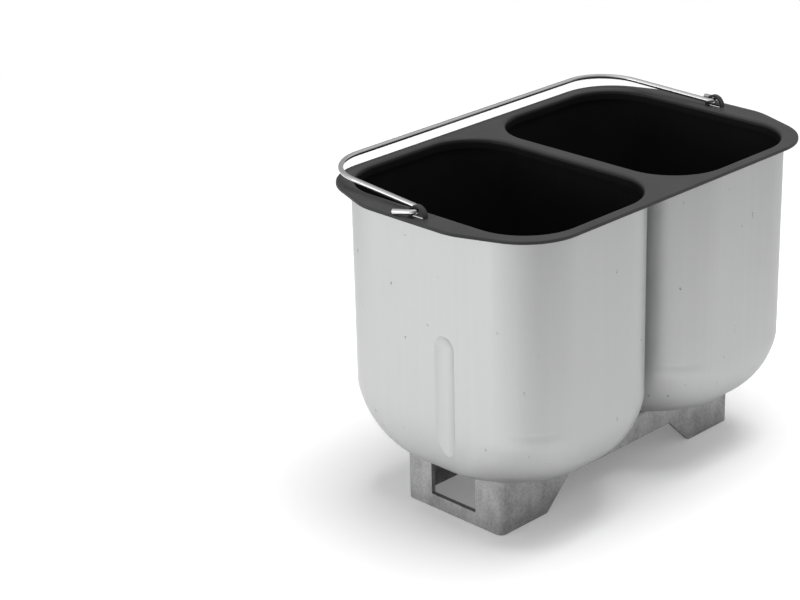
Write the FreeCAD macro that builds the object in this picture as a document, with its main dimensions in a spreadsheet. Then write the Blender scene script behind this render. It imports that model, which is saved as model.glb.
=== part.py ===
import FreeCAD, Part
import math
import os

import Sketcher
from FreeCAD import Placement, Rotation, Vector

# Twin-loaf baking pan of a bread maker: two deep-drawn cups in one black rim frame,
# a wire bail on two lanced lugs, and a cast base bracket that carries the two paddle drives.
# X runs along both cups, Y across them, Z up. The origin is on the floor, midway between the feet.

doc = FreeCAD.newDocument("twin_loaf_pan")
sheet = doc.addObject("Spreadsheet::Sheet", "sizes")

# Driving dimensions in millimetres, angles in degrees
SIZES = (
    # Rim frame: an eight-sided plate with a turned-down hem
    ("rim_half_length", 137.5),
    ("rim_half_width", 84.5),
    ("rim_end_half_width", 33.0),
    ("rim_corner_x", 118.5),
    ("rim_end_corner_radius", 38.0),
    ("rim_side_corner_radius", 37.0),
    ("rim_top", 195.0),
    ("rim_sheet", 1.0),
    ("rim_hem", 1.8),
    ("rim_edge_round", 0.7),
    ("collar_gap", 0.05),
    ("collar_depth", 6.0),
    ("collar_roll", 2.5),
    ("collar_bend", 1.5),
    # Bail lugs: arches lanced up from the rim frame
    ("lug_x", 129.9),
    ("lug_y", -3.2),
    ("lug_strap_width", 3.0),
    ("lug_sheet", 1.2),
    ("lug_half_span", 6.2),
    ("lug_rise", 6.6),
    ("lug_slot_half_length", 4.7),
    # Cups: rounded rectangles that turn nearly round at the floor
    ("cup_centre", 63.2),
    ("cup_half_length", 59.7),
    ("cup_half_width", 78.6),
    ("cup_corner_radius", 36.0),
    ("cup_wall", 1.2),
    ("cup_bottom", 36.0),
    ("cup_turn_height", 34.5),
    ("cup_turn_lead", 8.0),
    ("cup_end_inset", 10.0),
    ("cup_side_inset", 24.5),
    ("cup_floor_radius", 48.0),
    ("cup_flange", 3.0),
    ("cup_flange_sheet", 0.9),
    ("cup_hole_radius", 12.0),
    ("cut_margin", 5.0),
    # Kneading rib: a channel pressed into the cup's end wall
    ("rib_radius", 15.0),
    ("rib_depth", 2.0),
    ("rib_side_offset", 14.0),
    ("rib_ball_height", 117.1),
    # Base bracket
    ("base_offset", 1.7),
    ("base_half_length", 105.1),
    ("base_half_width", 37.9),
    ("base_corner_radius", 4.0),
    ("base_top", 35.0),
    ("base_wall", 3.0),
    ("base_top_round", 2.0),
    ("foot_length", 39.4),
    ("foot_slant", 18.6),
    ("rail_height", 18.0),
    ("window_half_width", 17.6),
    ("window_sill", 8.5),
    ("window_head", 31.0),
    ("boss_radius", 14.0),
    ("boss_bottom", 14.0),
    ("web_half_thickness", 1.25),
    ("web_bottom", 20.0),
    ("web_reach", 35.5),
    # Drive line under and in each cup
    ("bush_radius", 7.0),
    ("bush_flange_radius", 9.0),
    ("bush_flange", 1.5),
    ("upper_bush_length", 8.5),
    ("lower_bush_length", 6.0),
    ("shaft_radius", 4.0),
    ("running_gap", 0.05),
    ("press_gap", 0.01),
    ("shaft_bottom", 3.5),
    ("shaft_top", 61.5),
    ("shaft_flat_bottom", 42.0),
    ("shaft_flat_depth", 1.0),
    ("shaft_chamfer", 0.6),
    ("pocket_floor", 29.5),
    ("seal_radius", 11.0),
    ("seal_bottom", 31.6),
    ("seal_top", 37.0),
    ("seal_groove_depth", 2.2),
    ("seal_lip_width", 0.9),
    ("seal_lip_height", 1.0),
    ("seal_lip_root", 1.6),
    ("seal_throat", 1.2),
    ("seal_rim_taper", 0.6),
    ("seal_rim_width", 1.6),
    ("cap_radius", 15.0),
    ("cap_sheet", 1.2),
    ("cap_bore_radius", 4.6),
    ("circlip_radius", 6.5),
    ("circlip_sheet", 1.0),
    ("circlip_bottom", 29.9),
    ("circlip_groove_radius", 3.2),
    ("circlip_gap_half_width", 1.8),
    ("circlip_gap", 0.05),
    ("washer_gap", 0.1),
    ("washer_radius", 8.5),
    ("washer_sheet", 0.8),
    ("washer_bottom", 11.5),
    ("coupling_bottom", 4.5),
    ("coupling_top", 11.3),
    ("coupling_hub_radius", 9.0),
    ("coupling_wing_reach", 20.0),
    ("coupling_wing_half_width", 4.5),
    ("coupling_wing_round", 2.7),
    ("pin_radius", 1.5),
    ("pin_half_length", 8.5),
    ("pin_height", 8.0),
    ("gasket_radius", 33.0),
    ("gasket_bore_radius", 13.0),
    ("rivet_circle", 26.0),
    ("rivet_radius", 2.0),
    ("rivet_head_radius", 4.0),
    ("rivet_head_height", 1.6),
    ("rivet_crown_radius", 2.4),
    ("rivet_edge_height", 0.64),
    ("rivet_hole_radius", 2.1),
    # Kneading paddle
    ("paddle_bottom", 39.2),
    ("paddle_hub_radius", 9.5),
    ("paddle_hub_top", 65.0),
    ("paddle_fit_gap", 0.08),
    ("paddle_roof", 62.5),
    ("paddle_key_lift", 1.0),
    ("paddle_key_x", 5.0),
    ("paddle_reach", 41.0),
    ("paddle_heel", 22.0),
    ("paddle_heel_lift", 2.0),
    ("paddle_heel_top", 18.7),
    ("paddle_tip_height", 10.0),
    ("paddle_tip_rake", 4.0),
    ("paddle_crest_x", 18.0),
    ("paddle_crest_height", 36.0),
    ("paddle_brow_x", 26.0),
    ("paddle_brow_height", 31.0),
    ("paddle_half_thickness", 2.6),
    ("paddle_edge_round", 1.6),
    # Bail handle
    ("wire_radius", 1.5),
    ("bail_arm_x", 126.5),
    ("bail_arm_draw_in", 5.0),
    ("bail_hook_x", 129.9),
    ("bail_tail_x", 133.3),
    ("bail_reach", 86.0),
    ("bail_corner_radius", 30.0),
    ("bail_hook_radius", 2.6),
    ("bail_tail_length", 12.6),
    ("bail_tail_splay", 3.4),
    ("bail_tail_drop", 9.5),
    ("bail_pivot_height", 198.3),
    ("bail_rest_tilt", 2.6),
)

for row, (alias, value) in enumerate(SIZES, start=1):
    sheet.set(f"A{row}", alias)
    sheet.set(f"B{row}", str(value))
    sheet.setAlias(f"B{row}", alias)
doc.recompute()


def size(expression):
    """Value of an expression in the sheet's aliases."""
    return float(sheet.evalExpression(expression))


def bound(expression):
    """The same expression as another object of the document writes it."""
    words = []
    for word in expression.split():
        words.append(f"sizes.{word}" if word[0].isalpha() and "(" not in word else word)
    return " ".join(words)


# Sketch and feature helpers

def new_body(label):
    body = doc.addObject("PartDesign::Body", label)
    body.Label = label
    return body


def new_sketch(body, name, role="XY_Plane", level="0"):
    """A sketch on one of the body's own planes, moved along that plane's normal."""
    sketch = body.newObject("Sketcher::SketchObject", name)
    plane = next(part for part in body.Origin.OriginFeatures if part.Role == role)
    sketch.AttachmentSupport = [(plane, "")]
    sketch.MapMode = "FlatFace"
    sketch.setExpression("AttachmentOffset.Base.z", bound(level))
    return sketch


def drive(sketch, name, kind, places, expression):
    """A named dimension of a sketch that follows the sheet."""
    sketch.addConstraint(Sketcher.Constraint(kind, *places, size(expression)))
    sketch.renameConstraint(sketch.ConstraintCount - 1, name)
    sketch.setExpression(f"Constraints.{name}", bound(expression))


def place_point(sketch, name, geometry, point, x, y):
    drive(sketch, f"{name}_across", "DistanceX", (-1, 1, geometry, point), x)
    drive(sketch, f"{name}_up", "DistanceY", (-1, 1, geometry, point), y)


def draw_circle(sketch, name, radius, x="0", y="0"):
    centre = Vector(size(x), size(y), 0)
    circle = sketch.addGeometry(Part.Circle(centre, Vector(0, 0, 1), size(radius)), False)
    place_point(sketch, name, circle, 3, x, y)
    drive(sketch, f"{name}_radius", "Radius", (circle,), radius)


def draw_polygon(sketch, name, corners):
    points = [Vector(size(x), size(y), 0) for x, y in corners]
    first = sketch.GeometryCount
    count = len(points)
    for index, start in enumerate(points):
        sketch.addGeometry(Part.LineSegment(start, points[(index + 1) % count]), False)
    for index in range(count):
        following = first + (index + 1) % count
        sketch.addConstraint(Sketcher.Constraint("Coincident", first + index, 2, following, 1))
    for index, (x, y) in enumerate(corners):
        place_point(sketch, f"{name}_{index}", first + index, 1, x, y)


def draw_rounded_rectangle(sketch, name, half_x, half_y, radius):
    """Four sides and four tangent corner arcs, centred on the sketch's origin."""
    across, up, corner = size(half_x), size(half_y), size(radius)
    first = sketch.GeometryCount
    turns = ((1, -1), (1, 1), (-1, 1), (-1, -1))
    for index, (sign_x, sign_y) in enumerate(turns):
        centre = Vector(sign_x * (across - corner), sign_y * (up - corner), 0)
        start = math.radians(90 * index - 90)
        before = turns[index - 1]
        last_centre = Vector(before[0] * (across - corner), before[1] * (up - corner), 0)
        outward = Vector(math.cos(start), math.sin(start), 0) * corner
        sketch.addGeometry(Part.LineSegment(last_centre + outward, centre + outward), False)
        circle = Part.Circle(centre, Vector(0, 0, 1), corner)
        sketch.addGeometry(Part.ArcOfCircle(circle, start, start + math.pi / 2), False)
    for index in range(8):
        following = first + (index + 1) % 8
        sketch.addConstraint(Sketcher.Constraint("Tangent", first + index, 2, following, 1))
    for index in (0, 4):
        sketch.addConstraint(Sketcher.Constraint("Horizontal", first + index))
        sketch.addConstraint(Sketcher.Constraint("Vertical", first + index + 2))
    for index in (3, 5, 7):
        sketch.addConstraint(Sketcher.Constraint("Equal", first + 1, first + index))
    sketch.addConstraint(Sketcher.Constraint("Symmetric", first + 1, 3, first + 5, 3, -1, 1))
    drive(sketch, f"{name}_half_x", "DistanceX", (-1, 1, first + 2, 1), half_x)
    drive(sketch, f"{name}_half_y", "DistanceY", (-1, 1, first + 4, 1), half_y)
    drive(sketch, f"{name}_corner", "Radius", (first + 1,), radius)


def pad(body, sketch, length, downward=False, midplane=False):
    feature = body.newObject("PartDesign::Pad", f"{sketch.Name}_pad")
    feature.Profile = sketch
    feature.setExpression("Length", bound(length))
    feature.Reversed = downward
    feature.Midplane = midplane
    doc.recompute()
    return feature


def pocket(body, sketch, length=None, upward=False, midplane=False):
    """A cut of the given length, or through everything; it must take material away."""
    before = body.Shape.Volume
    feature = body.newObject("PartDesign::Pocket", f"{sketch.Name}_pocket")
    feature.Profile = sketch
    if length is None:
        feature.Type = 1
    else:
        feature.setExpression("Length", bound(length))
    feature.Reversed = upward
    feature.Midplane = midplane
    doc.recompute()
    if not body.Shape.Volume < before - 0.01:
        raise RuntimeError(f"{feature.Name} cuts nothing")
    return feature


def edges_where(feature, test):
    """Names of the feature's edges that pass the test."""
    names = []
    for index, edge in enumerate(feature.Shape.Edges, start=1):
        if test(edge):
            names.append(f"Edge{index}")
    return names


def round_edges(body, feature, test, radius):
    fillet = body.newObject("PartDesign::Fillet", f"{feature.Name}_round")
    fillet.Base = (feature, edges_where(feature, test))
    fillet.setExpression("Radius", bound(radius))
    doc.recompute()
    return fillet


def is_upright(edge):
    if not isinstance(edge.Curve, Part.Line):
        return False
    return abs(edge.Curve.Direction.z) > 0.99


def lies_at(edge, level):
    box = edge.BoundBox
    return abs(box.ZMin - level) < 0.01 and abs(box.ZMax - level) < 0.01


def within_cup(edge, centre_x):
    """Whether an edge lies within the outer faces of the cup on that centre."""
    box = edge.BoundBox
    reach_x = max(abs(box.XMin - centre_x), abs(box.XMax - centre_x))
    reach_y = max(abs(box.YMin), abs(box.YMax))
    return reach_x < size("cup_half_length") and reach_y < size("cup_half_width")


def put(piece, x="0", y="0", z="0", turn_z=0):
    """Place a piece; its position follows the sheet."""
    piece.Placement = Placement(Vector(), Rotation(Vector(0, 0, 1), turn_z))
    for axis, expression in zip("xyz", (x, y, z)):
        piece.setExpression(f"Placement.Base.{axis}", bound(expression))


def tilt(piece, place, axis, angle):
    """Turn a placement about an axis by an angle that follows the sheet."""
    setattr(piece, place, Placement(Vector(), Rotation(axis, size(angle))))
    piece.setExpression(f"{place}.Rotation.Angle", f"{bound(angle)} * 1 deg")


def cylinder(name, radius, bottom, top, x="0", y="0"):
    piece = doc.addObject("Part::Cylinder", name)
    piece.setExpression("Radius", bound(radius))
    piece.setExpression("Height", bound(f"( {top} ) - ( {bottom} )"))
    put(piece, x, y, bottom)
    return piece


def joined(name, pieces):
    union = doc.addObject("Part::MultiFuse", name)
    union.Shapes = pieces
    return union


def cut(name, base, tool):
    result = doc.addObject("Part::Cut", name)
    result.Base = base
    result.Tool = tool
    return result


def ring(label, outer, inner, bottom, top):
    """A plain ring about the local Z axis, revolved from its section."""
    body = new_body(label)
    section = new_sketch(body, f"{label}_section", "XZ_Plane")
    draw_polygon(section, "wall", ((inner, bottom), (outer, bottom), (outer, top), (inner, top)))
    revolve(body, section)
    return body


def revolve(body, sketch):
    turn = body.newObject("PartDesign::Revolution", f"{sketch.Name}_turn")
    turn.Profile = sketch
    turn.ReferenceAxis = (sketch, ["V_Axis"])
    turn.Angle = 360
    doc.recompute()
    return turn


# The cups

LEAD_STEPS = 2
FLOOR_STEPS = 7


def cup_solid(name, inset, top, raised):
    """The cup's outer form, drawn in by inset: straight walls and a turned-in floor."""
    body = new_body(name)
    half_x = f"cup_half_length - {inset}"
    half_y = f"cup_half_width - {inset}"
    corner = f"cup_corner_radius - {inset}"
    shoulder = "cup_bottom + cup_turn_height"
    wall = new_sketch(body, f"{name}_wall", level=f"{shoulder} + cup_turn_lead")
    draw_rounded_rectangle(wall, "plan", half_x, half_y, corner)
    pad(body, wall, f"{top} - ( {shoulder} + cup_turn_lead )")
    sections = []
    # A short straight lead keeps the turn tangent to the walls
    for step in range(LEAD_STEPS):
        level = f"{shoulder} + cup_turn_lead * {1 - step / LEAD_STEPS:.6f}"
        section = new_sketch(body, f"{name}_lead_{step}", level=level)
        draw_rounded_rectangle(section, "plan", half_x, half_y, corner)
        sections.append(section)
    for step in range(FLOOR_STEPS + 1):
        angle = math.radians(90.0 * step / FLOOR_STEPS)
        inward = 1.0 - math.cos(angle)
        level = f"{shoulder} - ( cup_turn_height - {raised} ) * {math.sin(angle):.6f}"
        section = new_sketch(body, f"{name}_turn_{step}", level=level)
        grow = f"( cup_floor_radius - cup_corner_radius ) * {math.sin(angle):.6f}"
        draw_rounded_rectangle(
            section,
            "plan",
            f"{half_x} - cup_end_inset * {inward:.6f}",
            f"{half_y} - cup_side_inset * {inward:.6f}",
            f"{corner} + {grow}",
        )
        sections.append(section)
    turn = body.newObject("PartDesign::AdditiveLoft", f"{name}_turn")
    turn.Profile = sections[0]
    turn.Sections = sections[1:]
    doc.recompute()
    return body


def rib_tool(name, extra):
    """The upright channel with a ball end that is pressed into the end wall."""
    axis_x = "- cup_half_length - rib_radius + rib_depth"
    axis_y = "- rib_side_offset"
    radius = f"rib_radius + {extra}"
    stem = cylinder(f"{name}_stem", radius, "0", "rib_ball_height", axis_x, axis_y)
    ball = doc.addObject("Part::Sphere", f"{name}_ball")
    ball.setExpression("Radius", bound(radius))
    put(ball, axis_x, axis_y, "rib_ball_height")
    return joined(name, [stem, ball])


def rivet_places():
    """The four rivets of a cup stand on a circle, on its diagonals."""
    diagonal = f"rivet_circle * {math.sqrt(0.5):.6f}"
    for x_sign in ("-", ""):
        for y_sign in ("-", ""):
            yield f"{x_sign} {diagonal}".strip(), f"{y_sign} {diagonal}".strip()


def make_cup(label, x, turn_z):
    """A drawn cup whose flange lies under the rim frame, round the frame's collar."""
    flange_top = "rim_top - rim_sheet"
    outer = cup_solid(f"{label}_outer", "0", flange_top, "0")
    flange = new_sketch(outer, f"{label}_flange", level=flange_top)
    draw_rounded_rectangle(
        flange,
        "edge",
        "cup_half_length + cup_flange",
        "cup_half_width + cup_flange",
        "cup_corner_radius + cup_flange",
    )
    pad(outer, flange, "cup_flange_sheet", downward=True)
    hollow = cup_solid(f"{label}_hollow", "cup_wall", f"{flange_top} + cut_margin", "cup_wall")
    pressed = cut(f"{label}_pressed", outer, rib_tool(f"{label}_channel", "0"))
    ribbed_hollow = cut(f"{label}_ribbed_hollow", hollow, rib_tool(f"{label}_rib", "cup_wall"))
    shell = cut(f"{label}_shell", pressed, ribbed_hollow)
    drill = ("cup_bottom - cut_margin", "cup_bottom + cut_margin")
    drills = [cylinder(f"{label}_seal_hole", "cup_hole_radius", *drill)]
    for index, (rivet_x, rivet_y) in enumerate(rivet_places()):
        name = f"{label}_rivet_hole_{index}"
        drills.append(cylinder(name, "rivet_hole_radius", *drill, rivet_x, rivet_y))
    drilled = cut(f"{label}_drilled", shell, joined(f"{label}_drills", drills))
    doc.recompute()
    mouth_round = size("collar_bend + collar_gap")
    mouth = []
    for index, edge in enumerate(drilled.Shape.Edges, start=1):
        if lies_at(edge, size(flange_top)) and within_cup(edge, 0):
            mouth.append((index, mouth_round, mouth_round))
    cup = doc.addObject("Part::Fillet", label)
    cup.Base = drilled
    cup.Edges = mouth
    cup.Label = label
    put(cup, x, turn_z=turn_z)
    doc.recompute()
    return cup


# The rim frame

def make_rim_frame():
    body = new_body("rim_frame")
    outline = new_sketch(body, "rim_outline", level="rim_top - rim_hem")
    corners = []
    for sign_x, sign_y in (("", ""), ("-", ""), ("-", "-"), ("", "-")):
        end = (f"{sign_x} rim_half_length", f"{sign_y} rim_end_half_width")
        side = (f"{sign_x} rim_corner_x", f"{sign_y} rim_half_width")
        pair = (end, side) if sign_x == sign_y else (side, end)
        corners.extend((x.strip(), y.strip()) for x, y in pair)
    draw_polygon(outline, "corner", corners)
    plate = pad(body, outline, "rim_hem")
    end_x = size("rim_half_length")

    def at_end(edge):
        return is_upright(edge) and abs(abs(edge.CenterOfMass.x) - end_x) < 0.01

    def at_side(edge):
        return is_upright(edge) and abs(abs(edge.CenterOfMass.x) - size("rim_corner_x")) < 0.01

    eased = round_edges(body, plate, at_side, "rim_side_corner_radius")
    eased = round_edges(body, eased, at_end, "rim_end_corner_radius")
    under = size("rim_top - rim_hem")
    underside = [
        f"Face{index}"
        for index, face in enumerate(eased.Shape.Faces, start=1)
        if abs(face.CenterOfMass.z - under) < 0.01
    ]
    shell = body.newObject("PartDesign::Thickness", "rim_shell")
    shell.Base = (eased, underside)
    shell.setExpression("Value", bound("rim_sheet"))
    shell.Reversed = True
    doc.recompute()
    for side, sign in (("front", "-"), ("rear", "")):
        lug = new_sketch(body, f"{side}_lug", "YZ_Plane", f"{sign} lug_x".strip())
        draw_arch(lug)
        pad(body, lug, "lug_strap_width", midplane=True)
        slot = new_sketch(body, f"{side}_slot", level="rim_top - rim_sheet / 2")
        draw_slot(slot, f"{sign} lug_x".strip())
        pocket(body, slot, "rim_sheet * 2", midplane=True)
    add_collars(body)
    return body


def draw_collar(body, name, sign, inset):
    """The plan of a cup's mouth, drawn in by inset from the cup's inner face."""
    sketch = new_sketch(body, name, level="rim_top")
    sketch.setExpression("AttachmentOffset.Base.x", bound(f"{sign} cup_centre".strip()))
    inward = f"( cup_wall + {inset} )"
    draw_rounded_rectangle(
        sketch,
        "edge",
        f"cup_half_length - {inward}",
        f"cup_half_width - {inward}",
        f"cup_corner_radius - {inward}",
    )
    return sketch


def add_collars(body):
    """Each opening's edge rolls down into its cup as a short collar of the same sheet."""
    top = size("rim_top")
    under = size("rim_top - rim_sheet")
    centres = (-size("cup_centre"), size("cup_centre"))

    def at_mouth(edge, level):
        return lies_at(edge, level) and any(within_cup(edge, x) for x in centres)

    def on_outline(edge):
        beside_lug = abs(abs(edge.CenterOfMass.x) - size("lug_x")) < size("lug_strap_width")
        return lies_at(edge, top) and not at_mouth(edge, top) and not beside_lug

    for side, sign in (("front", "-"), ("rear", "")):
        plug = draw_collar(body, f"{side}_collar", sign, "collar_gap")
        filled = pad(body, plug, "collar_depth", downward=True)
    bent = round_edges(body, filled, lambda edge: at_mouth(edge, under), "collar_bend")
    for side, sign in (("front", "-"), ("rear", "")):
        opening = draw_collar(body, f"{side}_opening", sign, "collar_gap + rim_sheet")
        opened = pocket(body, opening)
    rolled = round_edges(body, opened, lambda edge: at_mouth(edge, top), "collar_roll")
    body.Tip = round_edges(body, rolled, on_outline, "rim_edge_round")


def draw_arch(sketch):
    """Two concentric arcs over the slot, closed inside the rim sheet."""
    rise, half_span = size("lug_rise"), size("lug_half_span")
    outer = (half_span ** 2 + rise ** 2) / (2 * rise)
    inner = outer - size("lug_sheet")
    centre = Vector(size("lug_y"), size("rim_top") + rise - outer, 0)
    foot = size("rim_top - rim_sheet / 2") - centre.y
    ends = []
    for radius in (outer, inner):
        start = math.asin(foot / radius)
        circle = Part.Circle(centre, Vector(0, 0, 1), radius)
        arc = Part.ArcOfCircle(circle, start, math.pi - start)
        sketch.addGeometry(arc, False)
        ends.append((arc.StartPoint, arc.EndPoint))
    sketch.addGeometry(Part.LineSegment(ends[0][0], ends[1][0]), False)
    sketch.addGeometry(Part.LineSegment(ends[0][1], ends[1][1]), False)
    for line, point in ((2, 1), (3, 2)):
        sketch.addConstraint(Sketcher.Constraint("Coincident", 0, point, line, 1))
        sketch.addConstraint(Sketcher.Constraint("Coincident", 1, point, line, 2))
        sketch.addConstraint(Sketcher.Constraint("Horizontal", line))
    sketch.addConstraint(Sketcher.Constraint("Coincident", 0, 3, 1, 3))
    drive(sketch, "centre_across", "DistanceX", (-1, 1, 0, 3), "lug_y")
    radius = "( lug_half_span * lug_half_span + lug_rise * lug_rise ) / ( 2 * lug_rise )"
    drive(sketch, "outer_arc", "Radius", (0,), radius)
    drive(sketch, "inner_arc", "Radius", (1,), f"{radius} - lug_sheet")
    drive(sketch, "centre_up", "DistanceY", (-1, 1, 0, 3), f"rim_top + lug_rise - {radius}")
    drive(sketch, "left_foot", "DistanceY", (-1, 1, 0, 1), "rim_top - rim_sheet / 2")
    drive(sketch, "right_foot", "DistanceY", (-1, 1, 0, 2), "rim_top - rim_sheet / 2")


def draw_slot(sketch, x):
    corners = []
    for across, up in (("-", "-"), ("+", "-"), ("+", "+"), ("-", "+")):
        corners.append(
            (f"{x} {across} lug_strap_width / 2", f"lug_y {up} lug_slot_half_length")
        )
    draw_polygon(sketch, "slot", corners)


# The bail handle

def draw_bent_line(sketch, corners, bends):
    """Straight runs through the corners, each corner rounded by a tangent bend."""
    points = [Vector(size(x), size(y), 0) for x, y in corners]
    runs, turns = [], []
    start = points[0]
    for before, corner, after, bend in zip(points, points[1:], points[2:], bends):
        arriving = (corner - before).normalize()
        leaving = (after - corner).normalize()
        half_turn = arriving.getAngle(leaving) / 2
        setback = size(bend) * math.tan(half_turn)
        enter = corner - arriving * setback
        leave = corner + leaving * setback
        inward = (leaving - arriving).normalize()
        middle = corner + inward * size(bend) * (1 / math.cos(half_turn) - 1)
        runs.append(sketch.addGeometry(Part.LineSegment(start, enter), False))
        turns.append(sketch.addGeometry(Part.Arc(enter, middle, leave), False))
        start = leave
    runs.append(sketch.addGeometry(Part.LineSegment(start, points[-1]), False))
    for index, turn in enumerate(turns):
        run_end = sketch.getPoint(runs[index], 2)
        starts_here = (sketch.getPoint(turn, 1) - run_end).Length < 0.001
        first, last = (1, 2) if starts_here else (2, 1)
        sketch.addConstraint(Sketcher.Constraint("Tangent", runs[index], 2, turn, first))
        sketch.addConstraint(Sketcher.Constraint("Tangent", turn, last, runs[index + 1], 1))
        corner = sketch.addGeometry(Part.Point(points[index + 1]), True)
        sketch.addConstraint(Sketcher.Constraint("PointOnObject", corner, 1, runs[index]))
        sketch.addConstraint(Sketcher.Constraint("PointOnObject", corner, 1, runs[index + 1]))
        place_point(sketch, f"corner_{index}", corner, 1, *corners[index + 1])
        drive(sketch, f"bend_{index}", "Radius", (turn,), bends[index])
    place_point(sketch, "first_end", runs[0], 1, *corners[0])
    place_point(sketch, "last_end", runs[-1], 2, *corners[-1])


def sweep_wire(body, path):
    """A round wire along a path, with its section square to the path's first run."""
    section = body.newObject("Sketcher::SketchObject", f"{path.Name}_section")
    section.AttachmentSupport = [(path, "Edge1")]
    section.MapMode = "NormalToEdge"
    draw_circle(section, "wire", "wire_radius")
    doc.recompute()
    wire = body.newObject("PartDesign::AdditivePipe", f"{path.Name}_wire")
    wire.Profile = section
    wire.Spine = path
    doc.recompute()


def make_bail():
    """Grip, arms and hooks lie in one plane; the two tails turn down out of it."""
    body = new_body("bail_handle")
    hoop = new_sketch(body, "bail_hoop")
    shoulder_x = "bail_arm_x - bail_arm_draw_in"
    draw_bent_line(
        hoop,
        (
            ("- bail_hook_x", "0"),
            ("- bail_arm_x", "0"),
            (f"- ( {shoulder_x} )", "bail_reach"),
            (shoulder_x, "bail_reach"),
            ("bail_arm_x", "0"),
            ("bail_hook_x", "0"),
        ),
        ("bail_hook_radius", "bail_corner_radius", "bail_corner_radius", "bail_hook_radius"),
    )
    doc.recompute()
    sweep_wire(body, hoop)
    for side, sign in (("front", "-"), ("rear", "")):
        tail = new_sketch(body, f"{side}_tail")
        tilt(tail, "AttachmentOffset", Vector(-1, 0, 0), "bail_tail_drop")
        draw_bent_line(
            tail,
            (
                (f"{sign} bail_hook_x".strip(), "0"),
                (f"{sign} bail_tail_x".strip(), "0"),
                (f"{sign} ( bail_tail_x + bail_tail_splay )".strip(), "bail_tail_length"),
            ),
            ("bail_hook_radius",),
        )
        doc.recompute()
        sweep_wire(body, tail)
    tilt(body, "Placement", Vector(1, 0, 0), "bail_rest_tilt")
    body.setExpression("Placement.Base.y", bound("lug_y"))
    body.setExpression("Placement.Base.z", bound("bail_pivot_height"))
    doc.recompute()
    return body


# The base bracket

def make_base_bracket():
    body = new_body("base_bracket")
    plan = new_sketch(body, "base_plan")
    plan.setExpression("AttachmentOffset.Base.x", bound("base_offset"))
    draw_rounded_rectangle(
        plan, "edge", "base_half_length", "base_half_width", "base_corner_radius"
    )
    block = pad(body, plan, "base_top")
    top = size("base_top")
    block = round_edges(body, block, lambda edge: lies_at(edge, top), "base_top_round")
    inside = new_sketch(body, "base_inside")
    inside.setExpression("AttachmentOffset.Base.x", bound("base_offset"))
    draw_rounded_rectangle(
        inside,
        "edge",
        "base_half_length - base_wall",
        "base_half_width - base_wall",
        "base_corner_radius - base_wall",
    )
    pocket(body, inside, "base_top - base_wall", upward=True)
    arch = new_sketch(body, "side_arch", "XZ_Plane")
    floor_x = "base_half_length - foot_length"
    rail_x = "base_half_length - foot_length - foot_slant"
    draw_polygon(
        arch,
        "edge",
        (
            (f"base_offset - ( {floor_x} )", "0"),
            (f"base_offset + {floor_x}", "0"),
            (f"base_offset + {rail_x}", "rail_height"),
            (f"base_offset - ( {rail_x} )", "rail_height"),
        ),
    )
    pocket(body, arch, "( base_half_width + cut_margin ) * 2", midplane=True)
    window = new_sketch(body, "end_window", "YZ_Plane")
    draw_polygon(
        window,
        "edge",
        (
            ("- window_half_width", "window_sill"),
            ("window_half_width", "window_sill"),
            ("window_half_width", "window_head"),
            ("- window_half_width", "window_head"),
        ),
    )
    pocket(body, window, "( base_half_length + cut_margin ) * 2", midplane=True)
    ceiling = "base_top - base_wall"
    bosses = new_sketch(body, "bosses", level=ceiling)
    for side, sign in (("front", "-"), ("rear", "")):
        draw_circle(bosses, side, "boss_radius", f"{sign} cup_centre".strip())
    pad(body, bosses, f"{ceiling} - boss_bottom", downward=True)
    for side, sign in (("front", "-"), ("rear", "")):
        web = new_sketch(body, f"{side}_web", level=ceiling)
        x = f"{sign} cup_centre".strip()
        draw_polygon(
            web,
            "edge",
            (
                (f"{x} - web_half_thickness", "- web_reach"),
                (f"{x} + web_half_thickness", "- web_reach"),
                (f"{x} + web_half_thickness", "web_reach"),
                (f"{x} - web_half_thickness", "web_reach"),
            ),
        )
        pad(body, web, f"{ceiling} - web_bottom", downward=True)
        bore = new_sketch(body, f"{side}_bore", level="base_top")
        draw_circle(bore, "bore", "bush_radius", x)
        pocket(body, bore)
        seat = new_sketch(body, f"{side}_seal_seat", level="base_top")
        draw_circle(seat, "seat", "seal_radius", x)
        pocket(body, seat, "base_top - pocket_floor")
        holes = new_sketch(body, f"{side}_rivet_holes", level="base_top")
        for index, (rivet_x, rivet_y) in enumerate(rivet_places()):
            draw_circle(holes, f"hole_{index}", "rivet_hole_radius", f"{x} + {rivet_x}", rivet_y)
        pocket(body, holes, "base_wall")
    return body


# The drive line of one cup

def make_shaft(label):
    body = new_body(label)
    section = new_sketch(body, f"{label}_section", "XZ_Plane")
    outline = (
        ("0", "shaft_bottom"),
        ("shaft_radius - shaft_chamfer", "shaft_bottom"),
        ("shaft_radius", "shaft_bottom + shaft_chamfer"),
        ("shaft_radius", "circlip_bottom"),
        ("circlip_groove_radius", "circlip_bottom"),
        ("circlip_groove_radius", "circlip_bottom + circlip_sheet"),
        ("shaft_radius", "circlip_bottom + circlip_sheet"),
        ("shaft_radius", "shaft_top - shaft_chamfer"),
        ("shaft_radius - shaft_chamfer", "shaft_top"),
        ("0", "shaft_top"),
    )
    draw_polygon(section, "turned", outline)
    revolve(body, section)
    flat = new_sketch(body, f"{label}_flat", level="shaft_top")
    draw_polygon(
        flat,
        "cut",
        (
            ("shaft_radius - shaft_flat_depth", "- shaft_radius - cut_margin"),
            ("shaft_radius + cut_margin", "- shaft_radius - cut_margin"),
            ("shaft_radius + cut_margin", "shaft_radius + cut_margin"),
            ("shaft_radius - shaft_flat_depth", "shaft_radius + cut_margin"),
        ),
    )
    pocket(body, flat, "shaft_top - shaft_flat_bottom")
    cross = new_sketch(body, f"{label}_pin_hole", "YZ_Plane")
    draw_circle(cross, "hole", "pin_radius", "0", "pin_height")
    pocket(body, cross, "( shaft_radius + cut_margin ) * 2", midplane=True)
    return body


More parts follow.
